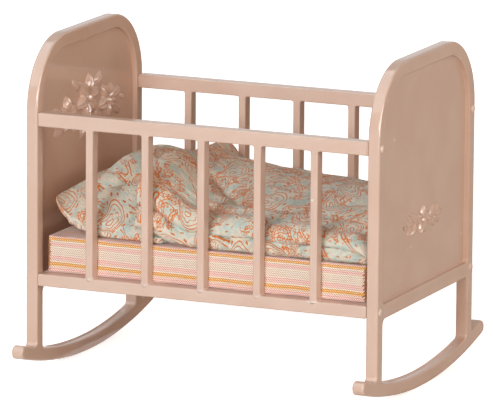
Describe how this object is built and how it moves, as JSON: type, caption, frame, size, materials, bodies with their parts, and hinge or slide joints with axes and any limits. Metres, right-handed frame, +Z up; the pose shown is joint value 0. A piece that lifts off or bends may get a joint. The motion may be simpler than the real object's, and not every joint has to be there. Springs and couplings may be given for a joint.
{
  "type": "doll cradle",
  "caption": "Miniature metal rocking cradle with arched solid ends, barred side gates and loose stuffed bedding: mattress, pillow and duvet.",
  "frame": {"origin": "on the floor, under the middle of the cradle, level with the rockers' lowest flats", "axes": "+Z up; +X along the bed from the head end to the foot end; +Y from the front gate to the back gate"},
  "size_m": [0.1076, 0.09, 0.0949],
  "materials": {
    "end_enamel": "glossy dusty-pink enamel",
    "gate_enamel": "glossy dusty-pink enamel",
    "base_enamel": "satin dusty-pink enamel",
    "rivet_enamel": "glossy dusty-pink enamel",
    "striped_ticking": "woven striped cotton ticking, matt",
    "pillow_cotton": "printed cotton, matt",
    "duvet_cotton": "printed cotton, matt",
    "wadding": "loose cotton wadding"
  },
  "bodies": {
    "cradle": {"head_end": "end_enamel", "foot_end": "end_enamel", "front_side_gate": "gate_enamel", "back_side_gate": "gate_enamel", "bed_base": "base_enamel", "head_rivet_front_top": "rivet_enamel", "head_rivet_front_bottom": "rivet_enamel", "head_rivet_back_top": "rivet_enamel", "head_rivet_back_bottom": "rivet_enamel", "foot_rivet_front_top": "rivet_enamel", "foot_rivet_front_bottom": "rivet_enamel", "foot_rivet_back_top": "rivet_enamel", "foot_rivet_back_bottom": "rivet_enamel"},
    "mattress": {"mattress_cover": "striped_ticking", "mattress_filling": "wadding"},
    "pillow": {"pillow_cover": "pillow_cotton", "pillow_filling": "wadding"},
    "duvet": {"duvet_cover": "duvet_cotton", "duvet_filling": "wadding"}
  },
  "joints": [
    {"name": "mattress_lift", "type": "slide", "parent": "cradle", "child": "mattress", "axis": [0, 0, 1], "range_m": [0, 0.07]},
    {"name": "pillow_lift", "type": "slide", "parent": "mattress", "child": "pillow", "axis": [0, 0, 1], "range_m": [0, 0.06]},
    {"name": "duvet_lift", "type": "slide", "parent": "pillow", "child": "duvet", "axis": [0, 0, 1], "range_m": [0, 0.06]}
  ]
}
